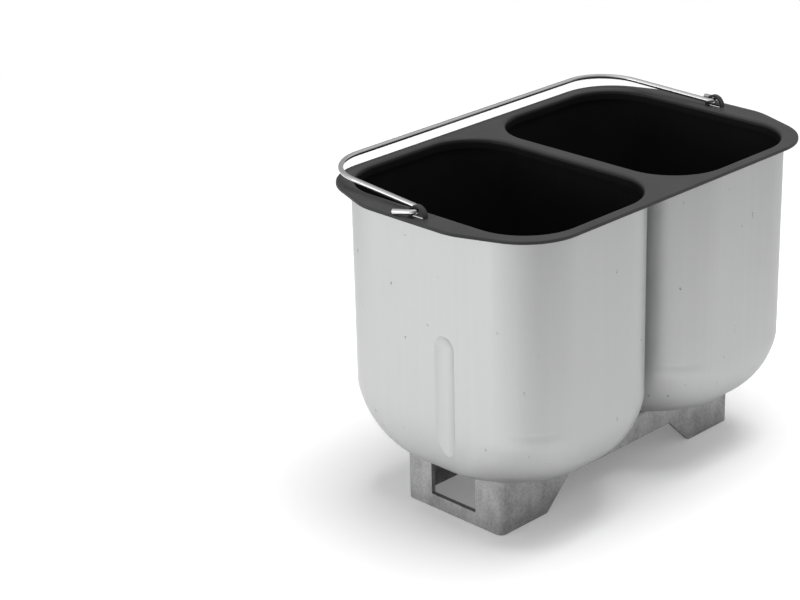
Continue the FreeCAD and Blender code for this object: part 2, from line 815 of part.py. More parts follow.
def make_lower_bush(label):
    """A flanged sintered bush, pushed up into the boss from below."""
    body = new_body(label)
    section = new_sketch(body, f"{label}_section", "XZ_Plane")
    inner = "shaft_radius + running_gap"
    draw_polygon(
        section,
        "wall",
        (
            (inner, "boss_bottom - bush_flange"),
            ("bush_flange_radius", "boss_bottom - bush_flange"),
            ("bush_flange_radius", "boss_bottom"),
            ("bush_radius", "boss_bottom"),
            ("bush_radius", "boss_bottom + lower_bush_length"),
            (inner, "boss_bottom + lower_bush_length"),
        ),
    )
    revolve(body, section)
    return body


def make_seal(label):
    """A rubber lip seal with an open groove on its upper face."""
    body = new_body(label)
    section = new_sketch(body, f"{label}_section", "XZ_Plane")
    lip = "shaft_radius + running_gap"
    draw_polygon(
        section,
        "rubber",
        (
            (f"{lip} + seal_throat", "seal_bottom"),
            ("seal_radius", "seal_bottom"),
            ("seal_radius", "base_top"),
            ("seal_radius - seal_rim_taper", "seal_top"),
            ("seal_radius - seal_rim_taper - seal_rim_width", "seal_top"),
            ("seal_radius - seal_rim_taper * 2 - seal_rim_width", "seal_top - seal_groove_depth"),
            (f"{lip} + seal_lip_root", "seal_top - seal_groove_depth"),
            (f"{lip} + seal_lip_width", "seal_top"),
            (lip, "seal_top"),
            (lip, "seal_top - seal_lip_height"),
        ),
    )
    revolve(body, section)
    return body


def make_circlip(label):
    """A snap ring with a gap, seated in the shaft's groove."""
    body = new_body(label)
    face = new_sketch(body, f"{label}_face", level="circlip_bottom")
    draw_circle(face, "outside", "circlip_radius")
    draw_circle(face, "inside", "circlip_groove_radius + circlip_gap")
    pad(body, face, "circlip_sheet")
    gap = new_sketch(body, f"{label}_gap", level="circlip_bottom + circlip_sheet")
    draw_polygon(
        gap,
        "gap",
        (
            ("0", "- circlip_gap_half_width"),
            ("circlip_radius + cut_margin", "- circlip_gap_half_width"),
            ("circlip_radius + cut_margin", "circlip_gap_half_width"),
            ("0", "circlip_gap_half_width"),
        ),
    )
    pocket(body, gap, "circlip_sheet")
    return body


def make_coupling(label):
    """The two-winged dog that the machine turns, pinned on the shaft's lower end."""
    body = new_body(label)
    hub = new_sketch(body, f"{label}_hub", level="coupling_bottom")
    draw_circle(hub, "hub", "coupling_hub_radius")
    pad(body, hub, "coupling_top - coupling_bottom")
    wings = new_sketch(body, f"{label}_wings", level="coupling_bottom")
    draw_polygon(
        wings,
        "wing",
        (
            ("- coupling_wing_half_width", "- coupling_wing_reach"),
            ("coupling_wing_half_width", "- coupling_wing_reach"),
            ("coupling_wing_half_width", "coupling_wing_reach"),
            ("- coupling_wing_half_width", "coupling_wing_reach"),
        ),
    )
    winged = pad(body, wings, "coupling_top - coupling_bottom")
    reach = size("coupling_wing_reach")

    def at_wing_tip(edge):
        return is_upright(edge) and abs(abs(edge.CenterOfMass.y) - reach) < 0.01

    round_edges(body, winged, at_wing_tip, "coupling_wing_round")
    bore = new_sketch(body, f"{label}_bore", level="coupling_top")
    draw_circle(bore, "bore", "shaft_radius + press_gap")
    pocket(body, bore)
    cross = new_sketch(body, f"{label}_pin_hole", "YZ_Plane")
    draw_circle(cross, "hole", "pin_radius", "0", "pin_height")
    pocket(body, cross, "( coupling_hub_radius + cut_margin ) * 2", midplane=True)
    return body


def make_pin(label):
    body = new_body(label)
    end = new_sketch(body, f"{label}_end", "YZ_Plane")
    draw_circle(end, "end", "pin_radius - press_gap", "0", "pin_height")
    pad(body, end, "pin_half_length * 2", midplane=True)
    return body


def make_gasket(label):
    body = new_body(label)
    face = new_sketch(body, f"{label}_face", level="base_top")
    draw_circle(face, "outside", "gasket_radius")
    draw_circle(face, "inside", "gasket_bore_radius")
    for index, (x, y) in enumerate(rivet_places()):
        draw_circle(face, f"hole_{index}", "rivet_hole_radius", x, y)
    pad(body, face, "cup_bottom - base_top")
    return body


def make_rivets(label, x):
    """Four domed rivets through the cup's floor, the gasket and the bracket's top."""
    rivets = []
    for index, (rivet_x, rivet_y) in enumerate(rivet_places()):
        body = new_body(f"{label}_{index}")
        section = new_sketch(body, f"{label}_{index}_section", "XZ_Plane")
        floor = "cup_bottom + cup_wall"
        under = "base_top - base_wall"
        draw_polygon(
            section,
            "rivet",
            (
                ("0", f"{under} - rivet_head_height"),
                ("rivet_crown_radius", f"{under} - rivet_head_height"),
                ("rivet_head_radius", f"{under} - rivet_edge_height"),
                ("rivet_head_radius", under),
                ("rivet_radius", under),
                ("rivet_radius", floor),
                ("rivet_head_radius", floor),
                ("rivet_head_radius", f"{floor} + rivet_edge_height"),
                ("rivet_crown_radius", f"{floor} + rivet_head_height"),
                ("0", f"{floor} + rivet_head_height"),
            ),
        )
        revolve(body, section)
        put(body, f"{x} + {rivet_x}", rivet_y)
        rivets.append(body)
    group = doc.addObject("Part::Compound", label)
    group.Links = rivets
    group.Label = label
    return group


def make_paddle(label):
    """A fin-shaped blade on a capped hub with a flat-sided bore."""
    body = new_body(label)
    hub = new_sketch(body, f"{label}_hub", level="paddle_bottom")
    draw_circle(hub, "hub", "paddle_hub_radius")
    pad(body, hub, "paddle_hub_top - paddle_bottom")
    blade = new_sketch(body, f"{label}_blade", "XZ_Plane")
    base = "paddle_bottom"
    draw_polygon(
        blade,
        "fin",
        (
            ("- paddle_heel", f"{base} + paddle_heel_lift"),
            ("0", base),
            ("paddle_reach - paddle_tip_rake", base),
            ("paddle_reach", f"{base} + paddle_tip_height"),
            ("paddle_brow_x", f"{base} + paddle_brow_height"),
            ("paddle_crest_x", f"{base} + paddle_crest_height"),
            ("0", "paddle_hub_top"),
            ("- paddle_heel_top", f"{base} + paddle_tip_height"),
        ),
    )
    fin = pad(body, blade, "paddle_half_thickness * 2", midplane=True)
    side = size("paddle_half_thickness")
    clear = size("paddle_hub_radius")

    def on_blade_rim(edge):
        box = edge.BoundBox
        flat = abs(abs(box.YMin) - side) < 0.01 and abs(box.YMax - box.YMin) < 0.01
        away = box.XMin > clear or box.XMax < -clear
        return flat and away

    body.Tip = round_edges(body, fin, on_blade_rim, "paddle_edge_round")
    bore = new_sketch(body, f"{label}_bore", level="paddle_bottom")
    draw_circle(bore, "bore", "shaft_radius + paddle_fit_gap")
    pocket(body, bore, "paddle_roof - paddle_bottom", upward=True)
    key = new_sketch(body, f"{label}_key", level="shaft_flat_bottom + paddle_key_lift")
    key_x = "shaft_radius - shaft_flat_depth + paddle_fit_gap"
    draw_polygon(
        key,
        "flat",
        (
            (key_x, "- shaft_radius"),
            ("paddle_key_x", "- shaft_radius"),
            ("paddle_key_x", "shaft_radius"),
            (key_x, "shaft_radius"),
        ),
    )
    pad(body, key, "paddle_roof - shaft_flat_bottom")
    return body


# Assembly

nodes = {}


def keep(piece):
    nodes[piece.Label] = piece
    return piece


def make_drive(side, x, turn_z):
    """Everything that stands on one cup's drive axis."""
    inner = "shaft_radius + running_gap"
    bush_top = "pocket_floor"
    floor = "cup_bottom + cup_wall"
    pieces = (
        make_shaft(f"{side}_drive_shaft"),
        ring(f"{side}_upper_bush", "bush_radius", inner, f"{bush_top} - upper_bush_length", bush_top),
        make_lower_bush(f"{side}_lower_bush"),
        make_seal(f"{side}_shaft_seal"),
        ring(f"{side}_seal_cap", "cap_radius", "cap_bore_radius", floor, f"{floor} + cap_sheet"),
        make_circlip(f"{side}_circlip"),
        ring(
            f"{side}_thrust_washer",
            "washer_radius",
            "shaft_radius + washer_gap",
            "washer_bottom",
            "washer_bottom + washer_sheet",
        ),
        make_coupling(f"{side}_drive_coupling"),
        make_pin(f"{side}_coupling_pin"),
        make_gasket(f"{side}_cup_gasket"),
        make_paddle(f"{side}_kneading_paddle"),
    )
    for piece in pieces:
        put(piece, x, turn_z=turn_z)
        keep(piece)
    keep(make_rivets(f"{side}_cup_rivets", x))


keep(make_rim_frame())
keep(make_bail())
keep(make_base_bracket())
for side, x, turn_z in (("front", "- cup_centre", 0), ("rear", "cup_centre", 180)):
    keep(make_cup(f"{side}_cup", x, turn_z))
    make_drive(side, x, turn_z)
doc.recompute()

# Nothing is written unless every object is sound
for item in doc.Objects:
    if "Invalid" in item.State or "Error" in item.State:
        raise RuntimeError(f"{item.Name} failed: {item.State}")
for label, piece in nodes.items():
    shape = piece.Shape
    if shape.isNull() or not shape.isValid():
        raise RuntimeError(f"{label} has no sound shape")
    expected = 4 if label.endswith("rivets") else 1
    if len(shape.Solids) != expected:
        raise RuntimeError(f"{label} has {len(shape.Solids)} solids")

os.makedirs("parts", exist_ok=True)
for label, piece in nodes.items():
    piece.Shape.exportStep(f"parts/{label}.step")
    box = piece.Shape.BoundBox
    print(
        f"{label}: {piece.Shape.Volume / 1000:.2f} cm3,"
        f" x {box.XMin:.1f} to {box.XMax:.1f},"
        f" y {box.YMin:.1f} to {box.YMax:.1f}, z {box.ZMin:.1f} to {box.ZMax:.1f}"
    )
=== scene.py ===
# %% [markdown]
# # A twin-loaf baking pan
#
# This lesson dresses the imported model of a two-loaf bread maker pan. The model arrives in
# metres, with Z up, and every piece already stands where the real one stands. What is left for
# Blender is the look: drawn aluminium, black non-stick coat, plated wire and cast metal.

# %% Load the frame
import math

import bpy
from mathutils import Matrix, Vector

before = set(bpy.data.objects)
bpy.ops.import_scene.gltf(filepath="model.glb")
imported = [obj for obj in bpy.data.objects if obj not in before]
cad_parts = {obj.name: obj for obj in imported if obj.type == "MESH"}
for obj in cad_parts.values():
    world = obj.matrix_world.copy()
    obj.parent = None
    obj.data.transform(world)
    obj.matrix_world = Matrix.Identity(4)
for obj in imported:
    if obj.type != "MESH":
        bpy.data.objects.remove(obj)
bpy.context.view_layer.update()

scene = bpy.context.scene

# %% [markdown]
# ## The camera
#
# The view was found by matching the rim, the feet and the cup edges of the pan, so the camera is
# a place, three directions and a focal length. A long lens far away keeps the rim's sides nearly
# parallel, as in a catalogue picture. Setting the matrix directly avoids a chain of rotations.

# %% Place the camera
CAMERA_PLACE = Vector((-0.93930, -0.81960, 0.62450))
CAMERA_RIGHT = Vector((0.7091, -0.7046, -0.0259))
CAMERA_FORWARD = Vector((0.6437, 0.6619, -0.3842)).normalized()
FOCAL_MM = 101.7

camera_up = CAMERA_RIGHT.cross(CAMERA_FORWARD).normalized()
camera_right = CAMERA_FORWARD.cross(camera_up).normalized()
camera_data = bpy.data.cameras.new("product_camera")
camera_data.lens = FOCAL_MM
camera_data.sensor_fit = "HORIZONTAL"
camera_data.sensor_width = 36.0
camera_data.clip_end = 50.0
camera = bpy.data.objects.new("product_camera", camera_data)
scene.collection.objects.link(camera)
turn = Matrix((camera_right, camera_up, -CAMERA_FORWARD)).transposed()
camera.matrix_world = Matrix.Translation(CAMERA_PLACE) @ turn.to_4x4()
scene.camera = camera
print("camera:", [round(v, 3) for v in camera.location], "lens", camera_data.lens)

# %% [markdown]
# ## The studio
#
# The pan stands on a white sweep under soft light. The floor is a disc whose rim fades out, so the
# white of the world takes over without a seam, while the shadow under the pan stays on the floor.
# One panel hangs overhead, a little before the long side, and draws a close shadow round the feet.
# Metal doesn't mirror it, so the wire keeps its grey. A second panel stands low beyond the front
# end of the pan. Bare metal shows its room, so two sides of the room are darker where metal mirrors
# it. That lets the eye read the end wall and the long wall as one bent sheet, and it gives the
# bright wire a grey edge against the white.

# %% World and lamps
scene.view_settings.view_transform = "Standard"


def node_at(tree, kind, x, y, **settings):
    """Adds a shader node and sets plain properties on it."""
    node = tree.nodes.new(kind)
    node.location = (x, y)
    for name, value in settings.items():
        setattr(node, name, value)
    return node


def math_of(tree, operation, first, second, x, y):
    """A math node on two values, each of them a socket or a plain number."""
    node = node_at(tree, "ShaderNodeMath", x, y, operation=operation)
    for socket, value in zip(node.inputs, (first, second)):
        if isinstance(value, (int, float)):
            socket.default_value = value
        else:
            tree.links.new(value, socket)
    return node.outputs[0]


def larger_of(tree, first, second, x, y):
    """The larger of two values."""
    return math_of(tree, "MAXIMUM", first, second, x, y)


def product_of(tree, first, second, x, y):
    """First value times second."""
    return math_of(tree, "MULTIPLY", first, second, x, y)


def rest_to_one(tree, value, x, y):
    """What a value leaves up to one."""
    return math_of(tree, "SUBTRACT", 1.0, value, x, y)


def share_along(tree, place, way, x, y):
    """How far a place or direction reaches along a given way."""
    node = node_at(tree, "ShaderNodeVectorMath", x, y, operation="DOT_PRODUCT")
    tree.links.new(place, node.inputs[0])
    node.inputs[1].default_value = way
    return node.outputs["Value"]


def ramp_of(tree, value, span, levels, x, y, soft=False):
    """Lays a value's span onto two levels, with soft ends where asked."""
    node = node_at(tree, "ShaderNodeMapRange", x, y)
    if soft:
        node.interpolation_type = "SMOOTHSTEP"
    node.inputs["From Min"].default_value, node.inputs["From Max"].default_value = span
    node.inputs["To Min"].default_value, node.inputs["To Max"].default_value = levels
    tree.links.new(value, node.inputs["Value"])
    return node.outputs["Result"]


AMBIENT = 0.42
WHITE = (1.0, 1.0, 1.0, 1.0)
UNIT = (0.0, 1.0)
# Each dark side of the room: the way to it and how much light it takes from mirrors
DARK_SIDES = (((-0.15, -0.99, 0.0), 0.75), ((0.70, 0.71, 0.10), 0.55))
DARK_SPAN = (0.0, 0.9)

world = bpy.data.worlds.new("studio_white")
scene.world = world
world.use_nodes = True
tree = world.node_tree
tree.nodes.clear()
path = node_at(tree, "ShaderNodeLightPath", -900, 0)
seen = larger_of(tree, path.outputs["Is Camera Ray"], path.outputs["Is Glossy Ray"], -700, 0)
seen = larger_of(tree, seen, path.outputs["Is Transmission Ray"], -550, 0)
strength = ramp_of(tree, seen, UNIT, (AMBIENT, 1.0), -400, 0)
around = node_at(tree, "ShaderNodeTexCoord", -900, -300)
for index, (direction, depth) in enumerate(DARK_SIDES):
    y = -300 * (index + 1)
    sideways = share_along(tree, around.outputs["Generated"], direction, -700, y)
    shade = ramp_of(tree, sideways, DARK_SPAN, (0.0, depth), -550, y, soft=True)
    mirrored = product_of(tree, shade, path.outputs["Is Glossy Ray"], -400, y)
    strength = math_of(tree, "SUBTRACT", strength, mirrored, -200, y)
sky = node_at(tree, "ShaderNodeBackground", 0, 0)
sky.inputs["Color"].default_value = WHITE
tree.links.new(strength, sky.inputs["Strength"])
out = node_at(tree, "ShaderNodeOutputWorld", 200, 0)
tree.links.new(sky.outputs["Background"], out.inputs["Surface"])


def soft_panel(name, place, aim, width, height, watts):
    """A large area lamp that faces a point."""
    data = bpy.data.lights.new(name, "AREA")
    data.shape = "RECTANGLE"
    data.size = width
    data.size_y = height
    data.energy = watts
    lamp = bpy.data.objects.new(name, data)
    scene.collection.objects.link(lamp)
    lamp.location = place
    lamp.rotation_euler = (Vector(aim) - Vector(place)).to_track_quat("-Z", "Y").to_euler()
    return lamp


soft_panel("key_panel", place=(-1.6, 0.9, 0.30), aim=(0.0, 0.0, 0.08),
           width=1.2, height=0.6, watts=4.5)
overhead = soft_panel("top_panel", place=(0.12, -0.16, 1.8), aim=(0.0, 0.0, 0.0),
                      width=1.1, height=1.1, watts=26.0)
overhead.visible_glossy = False

# %% The floor
FLOOR_SOLID = 0.5
FLOOR_END = 1.1
FLOOR_SIDES = 96
FLOOR_DROP = 0.0002
PAPER_WHITE = (0.93, 0.93, 0.93, 1.0)
PAPER_ROUGHNESS = 0.9
EYE_GLOW = 0.18
SIDE_GLOW = 0.03
FRONT_GLOW = 0.26
FRONT_WAY = (-0.8, 0.6, 0.0)
FRONT_SPAN = (0.06, 0.15)

floor_mesh = bpy.data.meshes.new("studio_floor")
ring = [Vector((math.cos(a), math.sin(a), 0.0)) * FLOOR_END
        for a in (math.tau * i / FLOOR_SIDES for i in range(FLOOR_SIDES))]
floor_mesh.from_pydata([(0.0, 0.0, 0.0)] + [tuple(p) for p in ring], [],
                       [(0, 1 + i, 1 + (i + 1) % FLOOR_SIDES) for i in range(FLOOR_SIDES)])
floor = bpy.data.objects.new("studio_floor", floor_mesh)
scene.collection.objects.link(floor)
floor.location.z = -FLOOR_DROP

paper = bpy.data.materials.new("white_sweep")
paper.use_nodes = True
tree = paper.node_tree
shader = tree.nodes["Principled BSDF"]
shader.inputs["Base Color"].default_value = PAPER_WHITE
shader.inputs["Roughness"].default_value = PAPER_ROUGHNESS
shader.inputs["Specular IOR Level"].default_value = 0.0
shader.inputs["Emission Color"].default_value = WHITE
where = node_at(tree, "ShaderNodeTexCoord", -800, 0)
reach = node_at(tree, "ShaderNodeVectorMath", -600, 0, operation="LENGTH")
tree.links.new(where.outputs["Object"], reach.inputs[0])
fade = ramp_of(tree, reach.outputs["Value"], (FLOOR_SOLID, FLOOR_END), (1.0, 0.0), -400, 0,
               soft=True)
# The paper has one side only, so the pan can be looked at from below
side = node_at(tree, "ShaderNodeNewGeometry", -600, 300)
upper = rest_to_one(tree, side.outputs["Backfacing"], -400, 300)
tree.links.new(product_of(tree, fade, upper, -200, 150), shader.inputs["Alpha"])
# A faint glow keeps the lit paper pure white, and the metal mirrors more of it at the front end
path = node_at(tree, "ShaderNodeLightPath", -600, -400)
ahead = share_along(tree, where.outputs["Object"], FRONT_WAY, -600, -700)
front = ramp_of(tree, ahead, FRONT_SPAN, (SIDE_GLOW, FRONT_GLOW), -450, -700, soft=True)
mirrored = product_of(tree, path.outputs["Is Glossy Ray"], front, -300, -550)
direct = product_of(tree, path.outputs["Is Camera Ray"], EYE_GLOW, -300, -400)
glow = math_of(tree, "ADD", direct, mirrored, -150, -400)
tree.links.new(glow, shader.inputs["Emission Strength"])
floor_mesh.materials.append(paper)
print("floor disc:", FLOOR_END, "m, solid to", FLOOR_SOLID, "m")

# %% [markdown]
# ## Shared surface effects
#
# Several finishes need the same effects, so each effect is one node group. Cloudy tone keeps a
# surface from looking like one flat colour. Draw lines are the faint upright streaks that a press
# tool leaves on a deep cup or a die leaves on wire. Scuffs are the few short marks of use. The last
# group tells which side of a cup's sheet a point is on.

# %% Node groups
NOISE_MIDDLE = 0.5
SCUFF_BREAKS = 700.0
CUP_CENTRE = 0.0632
CUP_MIDDLE_HEIGHT = 0.120
TURN_SPAN = (0.012, -0.012)


def new_group(name, inputs, outputs):
    """A shader group with value sockets; inputs carry their default."""
    group = bpy.data.node_groups.new(name, "ShaderNodeTree")
    for label, kind, default in inputs:
        socket = group.interface.new_socket(label, in_out="INPUT", socket_type=kind)
        if default is not None:
            socket.default_value = default
    for label, kind in outputs:
        group.interface.new_socket(label, in_out="OUTPUT", socket_type=kind)
    entry = node_at(group, "NodeGroupInput", -900, 0)
    leave = node_at(group, "NodeGroupOutput", 600, 0)
    return group, entry, leave


def tone_round_one(group, value, middle, amount):
    """Turns a value that swings round a middle into a factor that swings round one."""
    swing = product_of(group, math_of(group, "SUBTRACT", value, middle, -180, 0), amount, 0, 0)
    return math_of(group, "ADD", swing, 1.0, 180, 0)


def cloudy_tone_group():
    """Tone is a factor near one; Height is a matching grain for bump."""
    group, entry, leave = new_group(
        "cloudy_tone",
        (("Vector", "NodeSocketVector", None), ("Cloud Scale", "NodeSocketFloat", 30.0),
         ("Grain Scale", "NodeSocketFloat", 900.0), ("Amount", "NodeSocketFloat", 0.1)),
        (("Tone", "NodeSocketFloat"), ("Height", "NodeSocketFloat")),
    )
    cloud = node_at(group, "ShaderNodeTexNoise", -600, 150)
    cloud.inputs["Detail"].default_value = 4.0
    grain = node_at(group, "ShaderNodeTexNoise", -600, -150)
    grain.inputs["Detail"].default_value = 2.0
    group.links.new(entry.outputs["Vector"], cloud.inputs["Vector"])
    group.links.new(entry.outputs["Vector"], grain.inputs["Vector"])
    group.links.new(entry.outputs["Cloud Scale"], cloud.inputs["Scale"])
    group.links.new(entry.outputs["Grain Scale"], grain.inputs["Scale"])
    both = math_of(group, "ADD", cloud.outputs["Fac"], grain.outputs["Fac"], -350, 0)
    tone = tone_round_one(group, both, 2.0 * NOISE_MIDDLE, entry.outputs["Amount"])
    group.links.new(tone, leave.inputs["Tone"])
    group.links.new(grain.outputs["Fac"], leave.inputs["Height"])
    return group


def draw_lines_group():
    """Thin streaks along one direction, made by stretching noise."""
    group, entry, leave = new_group(
        "draw_lines",
        (("Vector", "NodeSocketVector", None), ("Stretch", "NodeSocketVector", (900.0, 900.0, 6.0)),
         ("Amount", "NodeSocketFloat", 0.06)),
        (("Tone", "NodeSocketFloat"), ("Height", "NodeSocketFloat")),
    )
    pull = node_at(group, "ShaderNodeVectorMath", -650, 0, operation="MULTIPLY")
    group.links.new(entry.outputs["Vector"], pull.inputs[0])
    group.links.new(entry.outputs["Stretch"], pull.inputs[1])
    streak = node_at(group, "ShaderNodeTexNoise", -450, 0)
    streak.inputs["Scale"].default_value = 1.0
    streak.inputs["Detail"].default_value = 3.0
    group.links.new(pull.outputs["Vector"], streak.inputs["Vector"])
    tone = tone_round_one(group, streak.outputs["Fac"], NOISE_MIDDLE, entry.outputs["Amount"])
    group.links.new(tone, leave.inputs["Tone"])
    group.links.new(streak.outputs["Fac"], leave.inputs["Height"])
    return group


def scuffs_group():
    """A mask of sparse short marks: the cores of widely spaced cells, broken up by noise."""
    group, entry, leave = new_group(
        "scuffs",
        (("Vector", "NodeSocketVector", None), ("Stretch", "NodeSocketVector", (1.0, 1.0, 0.5)),
         ("Spread", "NodeSocketFloat", 40.0), ("Size", "NodeSocketFloat", 0.06)),
        (("Marks", "NodeSocketFloat"),),
    )
    pull = node_at(group, "ShaderNodeVectorMath", -700, 0, operation="MULTIPLY")
    group.links.new(entry.outputs["Vector"], pull.inputs[0])
    group.links.new(entry.outputs["Stretch"], pull.inputs[1])
    cells = node_at(group, "ShaderNodeTexVoronoi", -500, 100)
    group.links.new(pull.outputs["Vector"], cells.inputs["Vector"])
    group.links.new(entry.outputs["Spread"], cells.inputs["Scale"])
    core = math_of(group, "LESS_THAN", cells.outputs["Distance"], entry.outputs["Size"], -300, 100)
    rough = node_at(group, "ShaderNodeTexNoise", -500, -200)
    rough.inputs["Scale"].default_value = SCUFF_BREAKS
    group.links.new(entry.outputs["Vector"], rough.inputs["Vector"])
    broken = math_of(group, "GREATER_THAN", rough.outputs["Fac"], NOISE_MIDDLE, -300, -200)
    group.links.new(product_of(group, core, broken, -100, 0), leave.inputs["Marks"])
    return group


def faces_cup_group():
    """One where a surface looks at the middle of its own cup, zero where it looks away."""
    group, entry, leave = new_group(
        "faces_cup",
        (("Vector", "NodeSocketVector", None), ("Normal", "NodeSocketVector", None)),
        (("Inside", "NodeSocketFloat"),),
    )
    split = node_at(group, "ShaderNodeSeparateXYZ", -700, 150)
    group.links.new(entry.outputs["Vector"], split.inputs[0])
    end = node_at(group, "ShaderNodeMath", -550, 150, operation="SIGN")
    group.links.new(split.outputs["X"], end.inputs[0])
    across = product_of(group, end.outputs[0], CUP_CENTRE, -400, 150)
    middle = node_at(group, "ShaderNodeCombineXYZ", -250, 150)
    group.links.new(across, middle.inputs["X"])
    middle.inputs["Z"].default_value = CUP_MIDDLE_HEIGHT
    outward = node_at(group, "ShaderNodeVectorMath", -50, 0, operation="SUBTRACT")
    group.links.new(entry.outputs["Vector"], outward.inputs[0])
    group.links.new(middle.outputs["Vector"], outward.inputs[1])
    facing = node_at(group, "ShaderNodeVectorMath", 150, 0, operation="DOT_PRODUCT")
    group.links.new(outward.outputs["Vector"], facing.inputs[0])
    group.links.new(entry.outputs["Normal"], facing.inputs[1])
    inside = ramp_of(group, facing.outputs["Value"], TURN_SPAN, UNIT, 350, 0, soft=True)
    group.links.new(inside, leave.inputs["Inside"])
    return group


CLOUDY_TONE = cloudy_tone_group()
DRAW_LINES = draw_lines_group()
SCUFFS = scuffs_group()
FACES_CUP = faces_cup_group()
print("groups:", [g.name for g in bpy.data.node_groups])

# %% [markdown]
# ## Building a finish
#
# Every finish is a Principled shader whose base colour is a plain colour times a tone that
# changes over the surface. The helper below makes that chain once: object coordinates, cloudy
# tone, streaks, their product, and a small bump. Each finish then sets its own numbers, and what
# is the same all over the surface is written on the shader's own socket.

# %% The finish helper


def use_group(tree, group, x, y, vector, **values):
    """Places a group and sets its inputs by name; underscores stand for spaces."""
    node = node_at(tree, "ShaderNodeGroup", x, y)
    node.node_tree = group
    tree.links.new(vector, node.inputs["Vector"])
    for name, value in values.items():
        node.inputs[name.replace("_", " ")].default_value = value
    return node


def toned(tree, colour, tone, x, y):
    """A plain colour times a changing tone."""
    node = node_at(tree, "ShaderNodeVectorMath", x, y, operation="SCALE")
    node.inputs[0].default_value = colour
    tree.links.new(tone, node.inputs["Scale"])
    return node.outputs["Vector"]


def start_finish(name):
    """A material with its shader and object coordinates."""
    material = bpy.data.materials.new(name)
    material.use_nodes = True
    tree = material.node_tree
    shader = tree.nodes["Principled BSDF"]
    shader.location = (600, 0)
    tree.nodes["Material Output"].location = (900, 0)
    where = node_at(tree, "ShaderNodeTexCoord", -1400, 0)
    return material, tree, shader, where.outputs["Object"], where.outputs["Normal"]


def grain_bump(tree, shader, height, strength, depth):
    """Feeds a height into the shader's normal as a shallow bump."""
    bump = node_at(tree, "ShaderNodeBump", 350, -350)
    bump.inputs["Strength"].default_value = strength
    bump.inputs["Distance"].default_value = depth
    tree.links.new(height, bump.inputs["Height"])
    tree.links.new(bump.outputs["Normal"], shader.inputs["Normal"])


def plain_finish(name, colour, metallic, roughness, clouds=30.0, grain=900.0, amount=0.15,
                 streaks=None, streak_amount=0.0, bump=0.1, bump_depth=0.0002):
    """One metal, rubber or coat with cloudy tone and, where asked, streaks."""
    material, tree, shader, place, _ = start_finish(name)
    cloud = use_group(tree, CLOUDY_TONE, -1000, 200, place,
                      Cloud_Scale=clouds, Grain_Scale=grain, Amount=amount)
    tone = cloud.outputs["Tone"]
    height = cloud.outputs["Height"]
    if streaks is not None:
        lines = use_group(tree, DRAW_LINES, -1000, -200, place,
                          Stretch=streaks, Amount=streak_amount)
        tone = product_of(tree, tone, lines.outputs["Tone"], -700, 100)
        height = lines.outputs["Height"]
    tree.links.new(toned(tree, colour, tone, -400, 200), shader.inputs["Base Color"])
    tree.links.new(ramp_of(tree, cloud.outputs["Height"], UNIT, roughness, -400, -100),
                   shader.inputs["Roughness"])
    shader.inputs["Metallic"].default_value = metallic
    grain_bump(tree, shader, height, bump, bump_depth)
    return material


def dress(nodes, material):
    """Gives CAD nodes a finish in all their slots."""
    for name in nodes:
        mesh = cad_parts[name].data
        if not mesh.materials:
            mesh.materials.append(material)
        for index in range(len(mesh.materials)):
            mesh.materials[index] = material
    print(material.name, "on", ", ".join(nodes))


# %% [markdown]
# ## The cups and the rim
#
# Each cup is drawn from one aluminium sheet. Outside it is bare satin metal with faint upright
# draw lines, a few scuffs and small pits. Inside it carries a black non-stick coat, which runs up
# over the collar of the rim. One material does both sides of the sheet: the surface normal tells
# whether a point faces the middle of its cup. The rim frame itself is pressed steel under a dark
# grey satin coat, a little paler than the black.

# %% Cup and rim finishes
COAT_BLACK = (0.0095, 0.0095, 0.0095)
COAT_ROUGHNESS = 0.46
COAT_SHINE = 0.18
CUP_METAL = (0.515, 0.522, 0.518)
CUP_SCUFF = (0.26, 0.26, 0.26, 1.0)
CUP_ROUGHNESS = (0.38, 0.52)
RIM_GREY = (0.039, 0.039, 0.039)
RIM_SHINE = 0.24
RIM_ROUGHNESS = (0.36, 0.52)
RIM_TOP = 0.1952


def coat_over(tree, under, place, coated, x, y):
    """The black coat laid over a colour where the mask says so."""
    speck = use_group(tree, CLOUDY_TONE, x - 500, y - 250, place,
                      Cloud_Scale=60.0, Grain_Scale=2600.0, Amount=0.5)
    black = toned(tree, COAT_BLACK, speck.outputs["Tone"], x - 250, y - 250)
    mix = node_at(tree, "ShaderNodeMix", x, y, data_type="RGBA")
    tree.links.new(coated, mix.inputs["Factor"])
    tree.links.new(under, mix.inputs["A"])
    tree.links.new(black, mix.inputs["B"])
    return mix.outputs["Result"]


